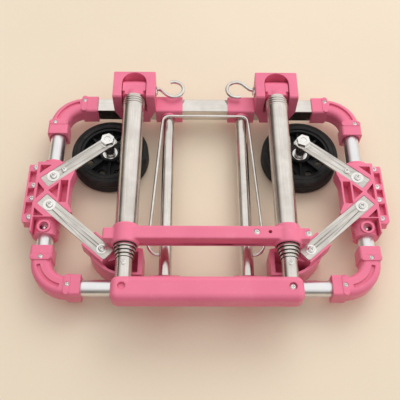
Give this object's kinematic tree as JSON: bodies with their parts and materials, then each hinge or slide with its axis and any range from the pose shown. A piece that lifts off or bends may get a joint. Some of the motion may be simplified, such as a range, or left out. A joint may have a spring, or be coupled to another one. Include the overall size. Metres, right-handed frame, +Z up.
{
  "type": "folding pet stroller chassis",
  "caption": "Folded wheeled chassis of a pet stroller: tube frame, telescopic handle with grip, swing-down legs with wheels and feet, wire bail and hooks.",
  "frame": {"origin": "middle of the folded chassis' footprint, on the floor it rests on", "axes": "+X to the right along the rear bar, +Y towards the rear bar, +Z up"},
  "size_m": [0.46, 0.336, 0.0749],
  "materials": {
    "pink_plastic": "satin moulded",
    "polished_steel": "polished stainless",
    "satin_aluminium": "satin",
    "zinc_steel": "zinc plated, brushed",
    "screw_steel": "zinc plated",
    "bright_wire": "bright plated wire",
    "tyre_rubber": "solid rubber",
    "black_plastic": "moulded"
  },
  "bodies": {
    "frame": {"rear_bar": "polished_steel", "front_tube": "satin_aluminium", "side_tubes": "satin_aluminium", "inner_tubes": "polished_steel", "corner_rear_left": "pink_plastic", "corner_rear_right": "pink_plastic", "corner_front_left": "pink_plastic", "corner_front_right": "pink_plastic", "corner_undershells": "pink_plastic", "corner_screws": "screw_steel", "rear_tee_clips": "pink_plastic", "front_tee_clips": "pink_plastic", "hinge_housing_left": "pink_plastic", "hinge_housing_right": "pink_plastic", "hinge_pins": "screw_steel"},
    "handle": {"hinge_tongues": "pink_plastic", "mast_tubes": "polished_steel", "brace_upper": "pink_plastic", "brace_lower": "pink_plastic", "brace_screws": "screw_steel"},
    "stage_2": {"stage_2_tubes": "polished_steel"},
    "stage_3": {"stage_3_tubes": "polished_steel"},
    "stage_4": {"stage_4_tubes": "polished_steel"},
    "stage_5": {"stage_5_tubes": "polished_steel"},
    "stage_6": {"stage_6_tubes": "polished_steel", "stage_screws": "screw_steel", "grip_upper": "pink_plastic", "grip_lower": "pink_plastic", "grip_screws": "screw_steel"},
    "leg_left": {"bracket_upper_left": "pink_plastic", "bracket_lower_left": "pink_plastic", "bracket_screws_left": "screw_steel", "rear_arm_left": "zinc_steel", "front_arm_left": "zinc_steel", "arm_screws_left": "screw_steel", "foot_left": "pink_plastic", "axle_left": "screw_steel"},
    "wheel_left": {"tyre_left": "tyre_rubber", "rim_left": "black_plastic", "bearings_left": "screw_steel"},
    "button_left": {"lock_button_left": "satin_aluminium", "button_spring_left": "screw_steel"},
    "hook_left": {"hook_left": "bright_wire"},
    "leg_right": {"bracket_upper_right": "pink_plastic", "bracket_lower_right": "pink_plastic", "bracket_screws_right": "screw_steel", "rear_arm_right": "zinc_steel", "front_arm_right": "zinc_steel", "arm_screws_right": "screw_steel", "foot_right": "pink_plastic", "axle_right": "screw_steel"},
    "wheel_right": {"tyre_right": "tyre_rubber", "rim_right": "black_plastic", "bearings_right": "screw_steel"},
    "button_right": {"lock_button_right": "satin_aluminium", "button_spring_right": "screw_steel"},
    "hook_right": {"hook_right": "bright_wire"},
    "bail": {"bail": "bright_wire"}
  },
  "joints": [
    {"name": "handle_fold", "type": "hinge", "parent": "frame", "child": "handle", "pos_m": [0, 0.141, 0.0545], "axis": [-1, 0, 0], "range_deg": [0, 90]},
    {"name": "stage_2_slide", "type": "slide", "parent": "handle", "child": "stage_2", "axis": [0, -1, 0], "range_m": [0, 0.15]},
    {"name": "stage_3_slide", "type": "slide", "parent": "stage_2", "child": "stage_3", "axis": [0, -1, 0], "range_m": [0, 0.15]},
    {"name": "stage_4_slide", "type": "slide", "parent": "stage_3", "child": "stage_4", "axis": [0, -1, 0], "range_m": [0, 0.15]},
    {"name": "stage_5_slide", "type": "slide", "parent": "stage_4", "child": "stage_5", "axis": [0, -1, 0], "range_m": [0, 0.15]},
    {"name": "stage_6_slide", "type": "slide", "parent": "stage_5", "child": "stage_6", "axis": [0, -1, 0], "range_m": [0, 0.15]},
    {"name": "leg_left_swing", "type": "hinge", "parent": "frame", "child": "leg_left", "pos_m": [-0.2, 0, 0.0285], "axis": [0, 1, 0], "range_deg": [0, 90]},
    {"name": "wheel_left_spin", "type": "hinge", "parent": "leg_left", "child": "wheel_left", "pos_m": [-0.1294, 0.062, 0.0135], "axis": [0, 0, 1], "continuous": true},
    {"name": "button_left_press", "type": "slide", "parent": "frame", "child": "button_left", "axis": [0, 0, -1], "range_m": [0, 0.003], "stiffness_N_per_m": 400, "springref_m": -0.001, "deforming": ["button_spring_left"]},
    {"name": "hook_left_swivel", "type": "hinge", "parent": "frame", "child": "hook_left", "pos_m": [-0.0659, 0.152, 0.0485], "axis": [1, 0, 0], "range_deg": [-90, 10]},
    {"name": "leg_right_swing", "type": "hinge", "parent": "frame", "child": "leg_right", "pos_m": [0.2, 0, 0.0285], "axis": [0, -1, 0], "range_deg": [0, 90]},
    {"name": "wheel_right_spin", "type": "hinge", "parent": "leg_right", "child": "wheel_right", "pos_m": [0.1294, 0.062, 0.0135], "axis": [0, 0, 1], "continuous": true},
    {"name": "button_right_press", "type": "slide", "parent": "frame", "child": "button_right", "axis": [0, 0, -1], "range_m": [0, 0.003], "stiffness_N_per_m": 400, "springref_m": -0.001, "deforming": ["button_spring_right"]},
    {"name": "hook_right_swivel", "type": "hinge", "parent": "frame", "child": "hook_right", "pos_m": [0.0659, 0.152, 0.0485], "axis": [1, 0, 0], "range_deg": [-90, 10]},
    {"name": "bail_swing", "type": "hinge", "parent": "frame", "child": "bail", "pos_m": [0, -0.093, 0.0285], "axis": [1, 0, 0], "range_deg": [0, 90]}
  ],
  "couplings": [
    {"joint": "stage_3_slide", "follows": "stage_2_slide", "ratio": 1},
    {"joint": "stage_4_slide", "follows": "stage_2_slide", "ratio": 1},
    {"joint": "stage_5_slide", "follows": "stage_2_slide", "ratio": 1},
    {"joint": "stage_6_slide", "follows": "stage_2_slide", "ratio": 1},
    {"joint": "bail_swing", "follows": "handle_fold", "ratio": 1}
  ]
}
